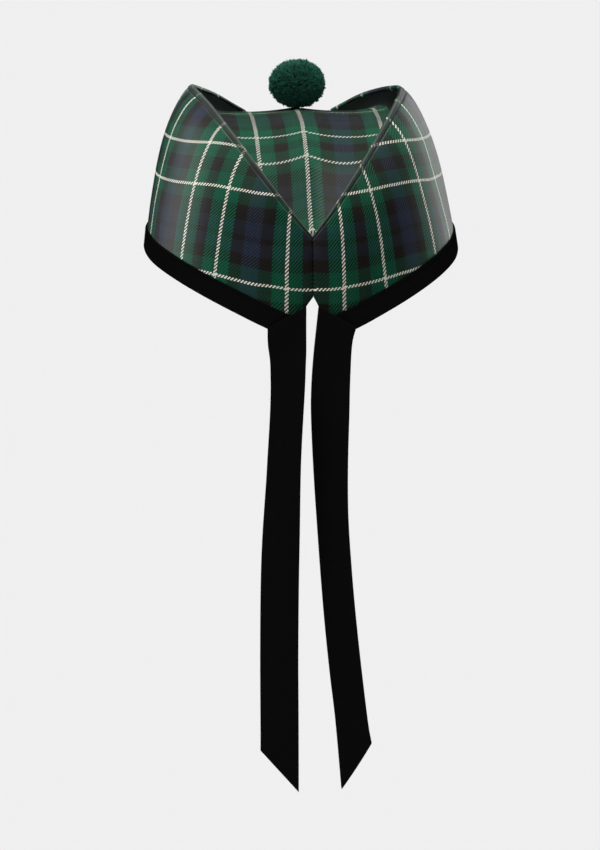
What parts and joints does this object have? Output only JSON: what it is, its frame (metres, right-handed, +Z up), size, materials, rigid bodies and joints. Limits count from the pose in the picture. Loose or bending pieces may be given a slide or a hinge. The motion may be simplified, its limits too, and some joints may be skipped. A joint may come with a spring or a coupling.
{
  "type": "glengarry",
  "caption": "Boat-shaped tartan cloth cap with tall side walls, a sunk creased crown, a black ribbon-bound rim, ribbon tails hanging at the back and a round green yarn pompom on top.",
  "frame": {"origin": "middle of the head opening, level with the rim at the ears, where a head holds the cap", "axes": "+Y towards the wearer's front, +X to the wearer's right, +Z up"},
  "size_m": [0.1874, 0.2228, 0.4131],
  "materials": {
    "tartan": "twill-woven wool in green, navy and black with cream lines, matt",
    "ribbon": "black grosgrain ribbon, low sheen",
    "yarn": "cut wool pile, bottle green, matt"
  },
  "bodies": {
    "root": {"side_left": "tartan", "side_right": "tartan", "crown": "tartan", "binding": "ribbon", "tail_left": "ribbon", "tail_right": "ribbon", "toorie": "yarn"}
  },
  "joints": []
}
